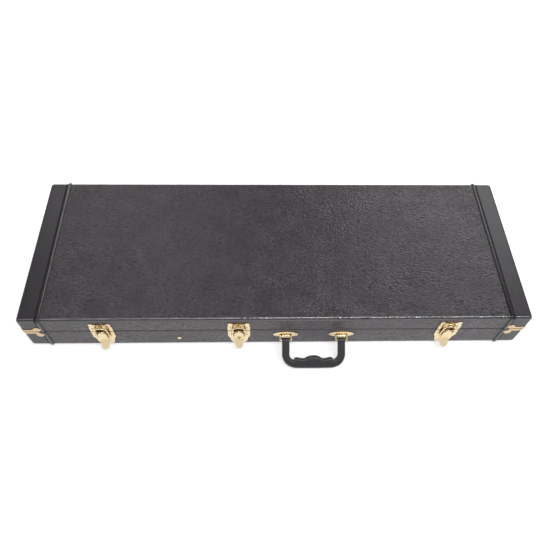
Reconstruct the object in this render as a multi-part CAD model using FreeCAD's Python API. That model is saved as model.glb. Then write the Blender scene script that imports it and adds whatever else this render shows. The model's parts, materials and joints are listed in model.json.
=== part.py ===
"""Rectangular hard-shell guitar case: plywood shell, leathercloth skin, brass hardware, plush interior.

The model is built in the case's own coordinates (millimetres): x along the length from the middle of the
case, y from the front face towards the hinges, z up from the underside of the skin. Hardware on the front
face uses (out, up): the distance out of the face, and the height above the seam. Every shape is moved by
PLACE when it is exported, so that the floor is z = 0 and the bounding box is centred on x = y = 0.
"""
import FreeCAD, Part
import math
import os

V = FreeCAD.Vector

# Case shell
LENGTH = 1040.0
WIDTH = 364.0
HEIGHT = 106.0
SEAM = 62.0                      # height of the opening line between base and lid
SEAM_GAP = 2.6
EDGE_RADIUS = 7.0
SKIN = 1.0                       # leathercloth and end cap thickness
RAIL = 9.0                       # plywood side rail thickness
PANEL = 5.0                      # plywood top and bottom panel thickness
HALF_LENGTH = LENGTH / 2
WALL = SKIN + RAIL
FLOOR_TOP = SKIN + PANEL
CEILING = HEIGHT - SKIN - PANEL
INNER_X = HALF_LENGTH - WALL
INNER_BACK = WIDTH - WALL
HALF_GAP = SEAM_GAP / 2

# Raised cords over the joints between skin and end caps; the case rests on them
PIPING_X = 476.0
PIPING_RADIUS = 3.3
PIPING_STEM = 3.0
PIPING_FLAT = 0.5
REST_HEIGHT = PIPING_RADIUS - PIPING_FLAT

# Corner trims and their nails, measured from the seam and from the case corner
TRIM_SHEET = 1.0
TRIM_STRIP = 8.0
TRIM_REACH = 32.7
LOBE_RADIUS = 7.5
LOBE_UP = {"base": -14.0, "lid": 8.5}
NAIL_REACH = 11.0
NAIL_UP = 5.0
NAIL_HEAD = 1.9
NAIL_RISE = 0.9
NAIL_SHANK = 0.8
NAIL_LENGTH = 9.0

# Rivets of the latches and hinges
RIVET_HEAD = 2.2
RIVET_RISE = 1.2
RIVET_SHANK = 1.3
RIVET_LENGTH = 8.0
PLATE = 1.5                      # sheet thickness of latch plates and hinge leaves

# Draw latches
LATCH_X = {"left": -358.0, "middle": -79.0, "right": 356.0}
LATCH_HALF = 23.0
LATCH_RIVET_X = 17.0
LATCH_RIVET_UP = {"base": -17.5, "lid": 12.5}
RUNNING_GAP = 0.05
PIVOT_OUT = 4.8                  # lever pivot
PIVOT_UP = 1.0
PIVOT_PIN = 1.0
CURL_RADIUS = 2.9
LEVER_HALF = 9.65
LEVER_SHEET = 1.2
LEVER_FACE = PIVOT_OUT + CURL_RADIUS
CHEEK_OUT = 2.4
CHEEK_BELOW = 3.5                # cheek below the bail's pivot
ARCH_UP = -5.5                   # where the lever's round top begins
FOLD_UP = -29.5
TONGUE_OUT = 20.0
TONGUE_UP = -45.0
TONGUE_TIP = 8.0                 # height of the tongue's round end
TONGUE_TAPER = 1.0
EAR_NEAR = 9.8
EAR_FAR = 10.6
EAR_RADIUS = 2.5
BAIL_OUT = 4.4                   # bail pivot, just inboard of the lever pivot when closed
BAIL_UP = -17.0
BAIL_WIRE = 1.5
BAIL_LEG = 12.4
BAIL_TOP = 22.5
BAIL_LEAN = 3.0
BAIL_PIN = 1.1
CATCH_HALF = 3.5
CATCH_OUT = 4.5
CATCH_UP = (15.0, 24.0)
LOCK_UP = -20.0
LOCK_RADIUS = 4.3
LOCK_FLANGE = 5.2
LOCK_BACK = 2.4
LOCK_FRONT = 8.6
KEYHOLE_RADIUS = 2.2
KEYHOLE_SLOT = 0.9
KEYHOLE_DROP = 3.6

# Carrying handle
HANDLE_X = 77.0
HANDLE_PITCH = 117.0
HANDLE_PLATE_UP = 42.5           # height of the handle plates above the underside
HANDLE_PLATE = (26.0, 10.7)
HANDLE_PLATE_RIM = 0.9
HANDLE_PLATE_OUT = 2.0           # outer face of the plate's raised middle
HANDLE_RIVET_X = 20.5
SADDLE_OUT = 4.4
SADDLE_RADIUS = 4.0
SADDLE_HALF = 8.0
RING_WIRE = 1.7
RING_HALF = 11.35
RING_LENGTH = 9.5
RING_DROOP = math.radians(45.0)
LEG_HALF = 7.25
EYE_RADIUS = 4.5
GRIP_RADIUS = 8.0
GRIP_CENTRE = 52.0               # from the ring's outer bar to the middle of the grip
GRIP_EDGE = GRIP_CENTRE + GRIP_RADIUS
GRIP_FLAT = 41.0                 # half the straight outer edge of the grip
BEND_START = 18.0                # the legs start to bend this far before the middle of the grip
LEG_FLARE = 1.0
# Inner edge of the grip: distance along it, and distance in from its middle line
FINGER_POINTS = ((-42.0, 9.0), (-37.0, 11.6), (-22.0, 10.0), (0.0, 16.0), (22.0, 10.0), (37.0, 11.6), (42.0, 9.0))
FLOOR_GAP = 0.2

# Rear hinges
HINGE_X = (-340.0, 0.0, 340.0)
HINGE_HALF = 32.0
HINGE_LEAF = 30.0
HINGE_OUT = 4.2
KNUCKLE_RADIUS = 3.8
KNUCKLE_GAP = 0.3
HINGE_PIN = 1.5
KNUCKLES = 5
HINGE_RIVET_X = 21.0
HINGE_RIVET_UP = 19.0

# Plush interior
PAD_GAP = 0.4
FLOOR_PAD = 12.0
LID_PAD = 7.0
BOLSTER_TOP = 58.0
BOLSTER_END_X = 499.0
CHANNEL_FRONT = 146.0            # sides of the neck channel
PARTITION = 6.0
PARTITION_X = -205.0             # middle of the wall nearest the guitar's body
FAR_PARTITION_X = -390.0
BOX_FRONT = 84.0
BOX_WALL = 5.0
BOX_TOP = 39.6
BOX_LID_UP = 40.0
BOX_LID = 4.0
BOX_LID_WIDTH = 50.0
NECK_REST_X = (-322.0, -262.0)
NECK_REST_TOP = 48.0
NECK_RADIUS = 32.0
NECK_DISH = 9.0
PARTITION_RIVET_UP = 27.0
PARTITION_RIVET_HEAD = 4.5
PARTITION_RIVET_RISE = 1.8

X_AXIS = V(1, 0, 0)
Y_AXIS = V(0, 1, 0)
Z_AXIS = V(0, 0, 1)
ORIGIN = V(0, 0, 0)

# Ring and handle axes, and where the whole case stands in the exported frame
RING_AXIS = V(0, -SADDLE_OUT, HANDLE_PLATE_UP)
GRIP_AXIS = RING_AXIS - V(0, RING_LENGTH * math.cos(RING_DROOP), RING_LENGTH * math.sin(RING_DROOP))
HANDLE_DROOP = math.asin((GRIP_AXIS.z + REST_HEIGHT - GRIP_RADIUS - FLOOR_GAP) / GRIP_CENTRE)
FRONT_REACH = -GRIP_AXIS.y + GRIP_CENTRE * math.cos(HANDLE_DROOP) + GRIP_RADIUS
BACK_REACH = HINGE_OUT + KNUCKLE_RADIUS
PLACE = V(0, (FRONT_REACH - WIDTH - BACK_REACH) / 2, REST_HEIGHT)


# General shapes

def block(x0, x1, y0, y1, z0, z1):
    return Part.makeBox(x1 - x0, y1 - y0, z1 - z0, V(x0, y0, z0))


def rod(radius, start, end):
    along = end - start
    return Part.makeCylinder(radius, along.Length, start, along)


def fused(shapes):
    return shapes[0].fuse(list(shapes[1:])).removeSplitter()


def drilled(shape, tools):
    """Shape with every tool that reaches it cut away, one by one."""
    for tool in tools:
        if shape.BoundBox.intersect(tool.BoundBox):
            shape = shape.cut(tool)
    return shape


def moved(shape, x=0.0, y=0.0, z=0.0):
    copy = shape.copy()
    copy.translate(V(x, y, z))
    return copy


def mirrored_x(shape):
    return shape.mirror(ORIGIN, X_AXIS)


def mirrored_y(shape):
    return shape.mirror(V(0, WIDTH / 2, 0), Y_AXIS)


def at_seam(x, out, up):
    """Point on or near the front face, from its distance out and its height above the seam."""
    return V(x, -out, SEAM + up)


def outline(place, start, steps):
    """Closed face. A step is an end point for a line, or a (middle, end) pair for an arc."""
    edges = []
    here = start
    for step in steps:
        if isinstance(step[0], tuple):
            middle, end = step
            edges.append(Part.Arc(place(*here), place(*middle), place(*end)).toShape())
        else:
            end = step
            edges.append(Part.LineSegment(place(*here), place(*end)).toShape())
        here = end
    return Part.Face(Part.Wire(edges))


def front_prism(start, steps, near, far):
    """Solid from an (x, up) outline, between two distances out of the front face."""
    face = outline(lambda x, up: at_seam(x, near, up), start, steps)
    return face.extrude(V(0, near - far, 0))


def side_prism(start, steps, x0, x1):
    """Solid from an (out, up) outline, between two places along x."""
    face = outline(lambda out, up: at_seam(x0, out, up), start, steps)
    return face.extrude(V(x1 - x0, 0, 0))


def domed_pin(foot, outward, head, rise, shank, length):
    """Round-headed rivet or nail: the head stands on foot, the shank runs the other way."""
    ball = (head * head + rise * rise) / (2 * rise)
    half_angle = math.asin(head / ball) / 2
    shoulder = V(ball * math.sin(half_angle), 0, rise - ball + ball * math.cos(half_angle))
    corners = [V(0, 0, rise), V(0, 0, -length), V(shank, 0, -length), V(shank, 0, 0), V(head, 0, 0)]
    edges = [Part.LineSegment(a, b).toShape() for a, b in zip(corners, corners[1:])]
    edges.append(Part.Arc(corners[-1], shoulder, corners[0]).toShape())
    pin = Part.Face(Part.Wire(edges)).revolve(ORIGIN, Z_AXIS, 360)
    pin.Placement = FreeCAD.Placement(foot, FreeCAD.Rotation(Z_AXIS, outward))
    return pin


def rivet(foot, outward):
    return domed_pin(foot, outward, RIVET_HEAD, RIVET_RISE, RIVET_SHANK, RIVET_LENGTH)


def nail(foot, outward):
    return domed_pin(foot, outward, NAIL_HEAD, NAIL_RISE, NAIL_SHANK, NAIL_LENGTH)


# Shell: envelopes, plywood, skin, end caps and piping

def envelope(half, inset):
    """Solid of the base or lid with its outer faces moved in by inset (out, where it is negative)."""
    x = HALF_LENGTH - inset
    if half == "lid":
        low, high, rim = SEAM + HALF_GAP, HEIGHT - inset, HEIGHT - inset
    else:
        low, high, rim = inset, SEAM - HALF_GAP, inset
    body = block(-x, x, inset, WIDTH - inset, low, high)
    upright = [e for e in body.Edges if e.BoundBox.ZLength > EDGE_RADIUS]
    around = [e for e in body.Edges if e.BoundBox.ZLength < 1 and abs(e.BoundBox.ZMin - rim) < 1]
    return body.makeFillet(EDGE_RADIUS - inset, upright + around)


def plywood(half, wood):
    """Panel and four rails cut from the plywood envelope of one half."""
    x = INNER_X
    panel_name, panel_low, panel_high = "base_bottom_panel", 0.0, FLOOR_TOP
    if half == "lid":
        panel_name, panel_low, panel_high = "lid_top_panel", CEILING, HEIGHT
    regions = {
        panel_name: block(-x, x, WALL, INNER_BACK, panel_low, panel_high),
        half + "_front_rail": block(-LENGTH, LENGTH, 0, WALL, 0, HEIGHT),
        half + "_back_rail": block(-LENGTH, LENGTH, INNER_BACK, WIDTH, 0, HEIGHT),
        half + "_left_rail": block(-LENGTH, -x, WALL, INNER_BACK, 0, HEIGHT),
        half + "_right_rail": block(x, LENGTH, WALL, INNER_BACK, 0, HEIGHT),
    }
    return {name: wood.common(region) for name, region in regions.items()}


def slab(x0, x1):
    return block(x0, x1, -WIDTH, 2 * WIDTH, -HEIGHT, 2 * HEIGHT)


def piping(half, outer, skin):
    """Half-round cord with a stem in the joint of the skin, flattened where it touches the floor."""
    lid = half == "lid"
    rim = HEIGHT if lid else 0.0
    bend = rim - EDGE_RADIUS if lid else EDGE_RADIUS
    seam = SEAM + HALF_GAP if lid else SEAM - HALF_GAP
    inset = EDGE_RADIUS * (1 - math.sqrt(0.5))
    nook = rim - inset if lid else inset
    front_bend = V(PIPING_X, 0, bend)
    front_rim = V(PIPING_X, EDGE_RADIUS, rim)
    back_rim = V(PIPING_X, WIDTH - EDGE_RADIUS, rim)
    back_bend = V(PIPING_X, WIDTH, bend)
    path = Part.Wire([
        Part.LineSegment(V(PIPING_X, 0, seam), front_bend).toShape(),
        Part.Arc(front_bend, V(PIPING_X, inset, nook), front_rim).toShape(),
        Part.LineSegment(front_rim, back_rim).toShape(),
        Part.Arc(back_rim, V(PIPING_X, WIDTH - inset, nook), back_bend).toShape(),
        Part.LineSegment(back_bend, V(PIPING_X, WIDTH, seam)).toShape(),
    ])
    circle = Part.Wire(Part.makeCircle(PIPING_RADIUS, V(PIPING_X, 0, seam), Z_AXIS))
    cord = path.makePipeShell([circle], True, False)
    under_floor = block(0, LENGTH, -WIDTH, 2 * WIDTH, -HEIGHT, -REST_HEIGHT)
    stem = skin.common(slab(PIPING_X - PIPING_STEM / 2, PIPING_X + PIPING_STEM / 2))
    return fused([cord.cut(outer).cut(under_floor), stem])


# Corner trims

def trim_region(half):
    """Space that the trim of the front right corner fills: a strip round the corner, lobes at its ends."""
    deep = EDGE_RADIUS + TRIM_SHEET
    edge = HALF_LENGTH + 2 * TRIM_SHEET
    lobe_x = HALF_LENGTH - TRIM_REACH
    up = SEAM + LOBE_UP[half]
    if half == "lid":
        low, high = SEAM + HALF_GAP, SEAM + TRIM_STRIP
        keep = slab(0, LENGTH).common(block(0, LENGTH, -WIDTH, WIDTH, low, HEIGHT))
    else:
        low, high = SEAM - TRIM_STRIP, SEAM - HALF_GAP
        keep = slab(0, LENGTH).common(block(0, LENGTH, -WIDTH, WIDTH, 0, high))
    return fused([
        block(lobe_x, edge, -deep, deep, low, high),
        block(HALF_LENGTH - deep, edge, 0, TRIM_REACH, low, high),
        rod(LOBE_RADIUS, V(lobe_x, -deep, up), V(lobe_x, deep, up)),
        rod(LOBE_RADIUS, V(HALF_LENGTH - deep, TRIM_REACH, up), V(edge, TRIM_REACH, up)),
    ]).common(keep)


def corner_nails(half):
    """Four nails of the front right corner: two through each leg of the trim."""
    up = SEAM + LOBE_UP[half]
    side_up = SEAM + (NAIL_UP if half == "lid" else -NAIL_UP)
    front_y = -TRIM_SHEET
    side_x = HALF_LENGTH + TRIM_SHEET
    return [
        nail(V(HALF_LENGTH - TRIM_REACH, front_y, up), -Y_AXIS),
        nail(V(HALF_LENGTH - NAIL_REACH, front_y, side_up), -Y_AXIS),
        nail(V(side_x, TRIM_REACH, up), X_AXIS),
        nail(V(side_x, NAIL_REACH, side_up), X_AXIS),
    ]


def four_corners(shapes):
    right = shapes + [mirrored_y(s) for s in shapes]
    return right + [mirrored_x(s) for s in right]


# Draw latches, built at x = 0

def catch_plate():
    """Upper half of the latch: scalloped plate with two ears, and the nose that the bail closes over."""
    plate = front_prism((-LATCH_HALF, HALF_GAP), [
        (-LATCH_HALF, 18.0),
        ((-21.2, 22.5), (-22.5, 27.0)),
        ((-19.0, 31.5), (-13.5, 30.5)),
        ((-11.0, 28.4), (-8.0, 28.0)),
        ((0.0, 29.6), (8.0, 28.0)),
        ((11.0, 28.4), (13.5, 30.5)),
        ((19.0, 31.5), (22.5, 27.0)),
        ((21.2, 22.5), (LATCH_HALF, 18.0)),
        (LATCH_HALF, HALF_GAP),
        (-LATCH_HALF, HALF_GAP),
    ], 0, PLATE)
    low, high = CATCH_UP
    nose = side_prism((0.0, low), [
        (PLATE, low),
        (CATCH_OUT, high - 3.0),
        ((CATCH_OUT - 0.4, high - 0.6), (CATCH_OUT - 1.6, high)),
        (0.0, high),
        (0.0, low),
    ], -CATCH_HALF, CATCH_HALF)
    return fused([plate, nose])


def latch_base_plate():
    """Lower half of the latch: a shield that narrows downwards, with two ears for the lever's pivot."""
    shield = front_prism((-LATCH_HALF, -HALF_GAP), [
        (-LATCH_HALF, -20.0),
        ((-21.8, -25.5), (-19.2, -30.0)),
        ((-18.4, -35.0), (-17.4, -40.0)),
        ((-15.6, -47.6), (-11.0, -53.0)),
        (11.0, -53.0),
        ((15.6, -47.6), (17.4, -40.0)),
        ((18.4, -35.0), (19.2, -30.0)),
        ((21.8, -25.5), (LATCH_HALF, -20.0)),
        (LATCH_HALF, -HALF_GAP),
        (-LATCH_HALF, -HALF_GAP),
    ], 0, PLATE)
    ear = fused([
        rod(EAR_RADIUS, at_seam(EAR_NEAR, PIVOT_OUT, PIVOT_UP), at_seam(EAR_FAR, PIVOT_OUT, PIVOT_UP)),
        side_prism((0.0, -8.0), [
            (PIVOT_OUT, -8.0),
            (PIVOT_OUT + EAR_RADIUS, PIVOT_UP),
            (PIVOT_OUT - EAR_RADIUS, PIVOT_UP),
            (0.0, -1.6),
            (0.0, -8.0),
        ], EAR_NEAR, EAR_FAR),
    ])
    return fused([shield, ear, mirrored_x(ear)])


def pivot_pin(gap=0.0):
    reach = EAR_FAR
    return rod(PIVOT_PIN + gap, at_seam(-reach, PIVOT_OUT, PIVOT_UP), at_seam(reach, PIVOT_OUT, PIVOT_UP))


def lever():
    """Folded sheet lever: a curl round the pivot, a round-topped front with two cheeks, a bent-out tongue."""
    inside = LEVER_FACE - LEVER_SHEET
    half = LEVER_HALF
    top = PIVOT_UP + CURL_RADIUS
    front = side_prism((LEVER_FACE, PIVOT_UP), [
        (LEVER_FACE, FOLD_UP),
        (TONGUE_OUT, TONGUE_UP),
        (TONGUE_OUT - LEVER_SHEET, TONGUE_UP - 0.9),
        (inside, FOLD_UP - 0.6),
        (inside, PIVOT_UP),
        (LEVER_FACE, PIVOT_UP),
    ], -half, half)
    curl = rod(CURL_RADIUS, at_seam(-half, PIVOT_OUT, PIVOT_UP), at_seam(half, PIVOT_OUT, PIVOT_UP))
    cheek = side_prism((PIVOT_OUT, PIVOT_UP), [
        (LEVER_FACE, PIVOT_UP),
        (LEVER_FACE, FOLD_UP),
        (CHEEK_OUT, BAIL_UP - CHEEK_BELOW),
        (CHEEK_OUT, PIVOT_UP),
        (PIVOT_OUT, PIVOT_UP),
    ], half - LEVER_SHEET, half)
    tip = TONGUE_UP + TONGUE_TIP
    plan = front_prism((-half, ARCH_UP), [
        (-half, FOLD_UP),
        (TONGUE_TAPER - half, tip),
        ((0.0, TONGUE_UP), (half - TONGUE_TAPER, tip)),
        (half, FOLD_UP),
        (half, ARCH_UP),
        ((0.0, top), (-half, ARCH_UP)),
    ], 0, 2 * TONGUE_OUT)
    body = fused([front, curl, cheek, mirrored_x(cheek)]).common(plan)
    bail_hole = rod(BAIL_PIN + RUNNING_GAP, at_seam(-half, BAIL_OUT, BAIL_UP), at_seam(half, BAIL_OUT, BAIL_UP))
    return body.cut(pivot_pin(RUNNING_GAP)).cut(bail_hole)


def bail():
    """Wire arch over the catch, its two ends turned inwards through the lever's cheeks."""
    crown = BAIL_TOP - BAIL_LEG
    left_foot = at_seam(-BAIL_LEG, BAIL_OUT, BAIL_UP)
    left_top = at_seam(-BAIL_LEG, BAIL_OUT, crown)
    right_top = at_seam(BAIL_LEG, BAIL_OUT, crown)
    right_foot = at_seam(BAIL_LEG, BAIL_OUT, BAIL_UP)
    path = Part.Wire([
        Part.LineSegment(left_foot, left_top).toShape(),
        Part.Arc(left_top, at_seam(0, BAIL_OUT, BAIL_TOP), right_top).toShape(),
        Part.LineSegment(right_top, right_foot).toShape(),
    ])
    circle = Part.Wire(Part.makeCircle(BAIL_WIRE, left_foot, Z_AXIS))
    arch = path.makePipeShell([circle], True, False)
    inward = LEVER_HALF - LEVER_SHEET - 0.4
    pieces = [arch]
    for side, foot in ((-1, left_foot), (1, right_foot)):
        pieces.append(Part.makeSphere(BAIL_WIRE, foot))
        pieces.append(rod(BAIL_PIN, foot, at_seam(side * inward, BAIL_OUT, BAIL_UP)))
    wire = fused(pieces)
    wire.rotate(at_seam(0, BAIL_OUT, BAIL_UP), X_AXIS, BAIL_LEAN)
    return wire


def lock_cylinder(gap=0.0):
    """Key plug in the lever's front plate: a barrel, a flange behind the plate and a keyhole."""
    inside = LEVER_FACE - LEVER_SHEET
    barrel = rod(LOCK_RADIUS + gap, at_seam(0, LOCK_BACK, LOCK_UP), at_seam(0, LOCK_FRONT, LOCK_UP))
    if gap:
        return barrel
    flange = rod(LOCK_FLANGE, at_seam(0, LOCK_BACK, LOCK_UP), at_seam(0, inside - RUNNING_GAP, LOCK_UP))
    low = LOCK_UP - KEYHOLE_DROP
    round_hole = rod(KEYHOLE_RADIUS, at_seam(0, PIVOT_OUT, LOCK_UP), at_seam(0, 2 * LOCK_FRONT, LOCK_UP))
    slot = block(-KEYHOLE_SLOT, KEYHOLE_SLOT, -2 * LOCK_FRONT, -PIVOT_OUT, SEAM + low, SEAM + LOCK_UP)
    return fused([barrel, flange]).cut(round_hole).cut(slot)


def latch_rivets(half):
    up = LATCH_RIVET_UP[half]
    return [rivet(at_seam(x + side * LATCH_RIVET_X, PLATE, up), -Y_AXIS)
            for x in LATCH_X.values() for side in (-1, 1)]


# Handle, its rings and plates

def ellipse_wire(half_x, half_z, out):
    ellipse = Part.Ellipse(ORIGIN, half_x, half_z)
    wire = Part.Wire(ellipse.toShape())
    wire.rotate(ORIGIN, X_AXIS, 90)
    wire.translate(V(0, -out, HANDLE_PLATE_UP))
    return wire


def handle_plate():
    """Stepped oval plate with a square saddle that holds the ring's inner bar."""
    half_x, half_z = HANDLE_PLATE
    low, high = HANDLE_PLATE_RIM, HANDLE_PLATE_OUT
    rim = Part.Face(ellipse_wire(half_x, half_z, 0)).extrude(V(0, -low, 0))
    crown = Part.makeLoft([ellipse_wire(half_x - 1.2, half_z - 1.2, low), ellipse_wire(half_x - 4, half_z - 3.4, high)],
                          True)
    saddle = fused([
        block(-SADDLE_HALF, SADDLE_HALF, -SADDLE_OUT, 0, HANDLE_PLATE_UP - SADDLE_RADIUS,
              HANDLE_PLATE_UP + SADDLE_RADIUS),
        rod(SADDLE_RADIUS, RING_AXIS - X_AXIS * SADDLE_HALF, RING_AXIS + X_AXIS * SADDLE_HALF),
    ])
    bore = rod(RING_WIRE + RUNNING_GAP, RING_AXIS - X_AXIS * LENGTH, RING_AXIS + X_AXIS * LENGTH)
    return fused([rim, crown, saddle]).cut(bore)


def ring():
    """Wire ring: its inner bar turns in the saddle, and its outer bar carries the handle."""
    corners = [V(-RING_HALF, 0, 0), V(RING_HALF, 0, 0), V(RING_HALF, -RING_LENGTH, 0), V(-RING_HALF, -RING_LENGTH, 0)]
    pieces = [Part.makeSphere(RING_WIRE, corner) for corner in corners]
    pieces += [rod(RING_WIRE, corners[i - 1], corners[i]) for i in range(len(corners))]
    loop = fused(pieces)
    loop.rotate(ORIGIN, X_AXIS, math.degrees(RING_DROOP))
    loop.translate(RING_AXIS)
    return loop


def handle():
    """Moulded handle: two legs that taper to eyes round the rings, and a grip with a finger contour."""
    leg = HANDLE_PITCH / 2
    inner, outer = leg - LEG_HALF, leg + LEG_HALF
    bend = GRIP_CENTRE - BEND_START
    tip = -EYE_RADIUS

    def place(x, reach):
        return V(x, -reach, -GRIP_RADIUS)

    def line(start, end):
        return Part.LineSegment(place(*start), place(*end)).toShape()

    def arc(start, middle, end):
        return Part.Arc(place(*start), place(*middle), place(*end)).toShape()

    fingers = Part.BSplineCurve()
    fingers.interpolate([place(x, GRIP_CENTRE - inwards) for x, inwards in FINGER_POINTS])
    end_x, end_in = FINGER_POINTS[-1]
    fork = (end_x, GRIP_CENTRE - end_in)
    edges = [fingers.toShape(), line((-GRIP_FLAT, GRIP_EDGE), (GRIP_FLAT, GRIP_EDGE))]
    for side in (-1, 1):
        foot_out, foot_in = (side * outer, tip), (side * inner, tip)
        bend_out, bend_in = (side * (outer + LEG_FLARE), bend), (side * (inner - 3 * LEG_FLARE), bend)
        corner_out = (side * (leg + 1), GRIP_CENTRE + 0.5)
        corner_in = (side * (inner - 4.5), bend + 6.5)
        edges += [
            line(foot_in, foot_out),
            line(foot_out, bend_out),
            arc(bend_out, corner_out, (side * GRIP_FLAT, GRIP_EDGE)),
            line(foot_in, bend_in),
            arc(bend_in, corner_in, (side * fork[0], fork[1])),
        ]
    plan = Part.Face(Part.Wire(Part.__sortEdges__(edges))).extrude(V(0, 0, 2 * GRIP_RADIUS))
    profile = handle_side(outer + 2 * LEG_FLARE)
    eyes = rod(RING_WIRE + RUNNING_GAP, V(-LENGTH, 0, 0), V(LENGTH, 0, 0))
    body = plan.common(profile).cut(eyes)
    body.rotate(ORIGIN, X_AXIS, math.degrees(HANDLE_DROOP))
    body.translate(GRIP_AXIS + V(HANDLE_X, 0, 0))
    return body


def handle_side(half_x):
    """Side profile of the handle: the common tangents of the eye circle and the grip circle."""
    lean = math.asin((GRIP_RADIUS - EYE_RADIUS) / GRIP_CENTRE)

    def point(reach, radius, angle):
        return V(-half_x, -(reach + radius * math.cos(angle)), radius * math.sin(angle))

    touch = math.pi / 2 + lean
    eye_up, eye_end, eye_down = (point(0, EYE_RADIUS, a) for a in (touch, math.pi, -touch))
    grip_up, grip_end, grip_down = (point(GRIP_CENTRE, GRIP_RADIUS, a) for a in (touch, 0, -touch))
    wire = Part.Wire([
        Part.LineSegment(eye_up, grip_up).toShape(),
        Part.Arc(grip_up, grip_end, grip_down).toShape(),
        Part.LineSegment(grip_down, eye_down).toShape(),
        Part.Arc(eye_down, eye_end, eye_up).toShape(),
    ])
    return Part.Face(wire).extrude(V(2 * half_x, 0, 0))


# Rear hinges, built at x = 0

def hinge_leaf(half):
    """Leaf on the back face with every other knuckle, cut back round the knuckles of the other leaf."""
    lid = half == "lid"
    low, high = (0.0, HINGE_LEAF) if lid else (-HINGE_LEAF, 0.0)
    leaf = block(-HINGE_HALF, HINGE_HALF, WIDTH, WIDTH + PLATE, SEAM + low, SEAM + high)
    axis_y = WIDTH + HINGE_OUT
    pitch = 2 * HINGE_HALF / KNUCKLES
    pieces = [leaf]
    cuts = []
    for index in range(KNUCKLES):
        start = -HINGE_HALF + index * pitch
        mine = (index % 2 == 1) == lid
        trim = KNUCKLE_GAP / 2 if mine else -KNUCKLE_GAP / 2
        x0 = start + trim if index else start - (0 if mine else 1)
        x1 = start + pitch - trim if index < KNUCKLES - 1 else start + pitch + (0 if mine else 1)
        radius = KNUCKLE_RADIUS if mine else KNUCKLE_RADIUS + KNUCKLE_GAP
        knuckle = rod(radius, V(x0, axis_y, SEAM), V(x1, axis_y, SEAM))
        (pieces if mine else cuts).append(knuckle)
    return fused(pieces).cut(cuts).cut(hinge_pin(RUNNING_GAP))


def hinge_pin(gap=0.0):
    axis_y = WIDTH + HINGE_OUT
    return rod(HINGE_PIN + gap, V(-HINGE_HALF, axis_y, SEAM), V(HINGE_HALF, axis_y, SEAM))


def hinge_rivets(half):
    up = SEAM + (HINGE_RIVET_UP if half == "lid" else -HINGE_RIVET_UP)
    return [rivet(V(x + side * HINGE_RIVET_X, WIDTH + PLATE, up), Y_AXIS) for x in HINGE_X for side in (-1, 1)]


# Plush interior

def bolster(start_x):
    """Front pad whose inner edge follows a guitar body and then one side of the neck channel."""
    edge = WALL + PAD_GAP
    base = FLOOR_TOP + FLOOR_PAD + 2 * PAD_GAP
    bout_points = [(58.0, CHANNEL_FRONT), (84.0, 92.0), (150.0, 42.0), (262.0, 70.0), (390.0, 24.0), (BOLSTER_END_X, 52.0)]
    bout = Part.BSplineCurve()
    bout.interpolate([V(x, y, base) for x, y in bout_points])
    tail = V(BOLSTER_END_X, edge, base)
    head = V(start_x, edge, base)
    head_in = V(start_x, CHANNEL_FRONT, base)
    wire = Part.Wire([
        Part.LineSegment(head, head_in).toShape(),
        Part.LineSegment(head_in, V(*bout_points[0], base)).toShape(),
        bout.toShape(),
        Part.LineSegment(V(*bout_points[-1], base), tail).toShape(),
        Part.LineSegment(tail, head).toShape(),
    ])
    return Part.Face(wire).extrude(V(0, 0, BOLSTER_TOP - base))


def neck_rest():
    """Padded block across the neck channel, hollowed to the back of the neck."""
    x0, x1 = NECK_REST_X
    body = block(x0, x1, CHANNEL_FRONT + PAD_GAP, WIDTH - CHANNEL_FRONT - PAD_GAP,
                 FLOOR_TOP + FLOOR_PAD + 2 * PAD_GAP, NECK_REST_TOP)
    middle = WIDTH / 2
    dish_z = NECK_REST_TOP - NECK_DISH + NECK_RADIUS
    return body.cut(rod(NECK_RADIUS, V(x0 - 1, middle, dish_z), V(x1 + 1, middle, dish_z)))


def accessory_box():
    """Walls of the compartment beside the neck, the filler in front of it and its hinged lid."""
    low = FLOOR_TOP + FLOOR_PAD + 2 * PAD_GAP
    front = WALL + PAD_GAP
    half_wall = PARTITION / 2
    right0, right1 = PARTITION_X - half_wall, PARTITION_X + half_wall
    left0, left1 = FAR_PARTITION_X - half_wall, FAR_PARTITION_X + half_wall
    return {
        "neck_partition": block(right0, right1, front, CHANNEL_FRONT, low, BOLSTER_TOP),
        "head_partition": block(left0, left1, front, CHANNEL_FRONT, low, BOLSTER_TOP),
        "compartment_back_wall": block(left1 + PAD_GAP, right0 - PAD_GAP, CHANNEL_FRONT - BOX_WALL, CHANNEL_FRONT,
                                       low, BOLSTER_TOP),
        "compartment_filler": block(left1 + PAD_GAP, right0 - PAD_GAP, front, BOX_FRONT + BOX_WALL, low, BOX_TOP),
        "compartment_lid": block(left1 + 3 * PAD_GAP, right0 - 3 * PAD_GAP, BOX_FRONT + BOX_WALL + PAD_GAP,
                                 BOX_FRONT + BOX_WALL + PAD_GAP + BOX_LID_WIDTH, BOX_LID_UP, BOX_LID_UP + BOX_LID),
    }


def pads():
    x = INNER_X - PAD_GAP
    front, back = WALL + PAD_GAP, INNER_BACK - PAD_GAP
    floor = FLOOR_TOP + PAD_GAP
    low = floor + FLOOR_PAD + PAD_GAP
    ceiling = CEILING - PAD_GAP
    filler_x = PARTITION_X + PARTITION / 2 + PAD_GAP
    return {
        "base_floor_pad": block(-x, x, front, back, floor, floor + FLOOR_PAD),
        "lid_pad": block(-x, x, front, back, ceiling - LID_PAD, ceiling),
        "front_bolster": bolster(filler_x),
        "back_bolster": mirrored_y(bolster(FAR_PARTITION_X)),
        "tail_pad": block(BOLSTER_END_X + PAD_GAP, x, front, back, low, BOLSTER_TOP),
        "neck_rest": neck_rest(),
    }


# Assembly

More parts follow.
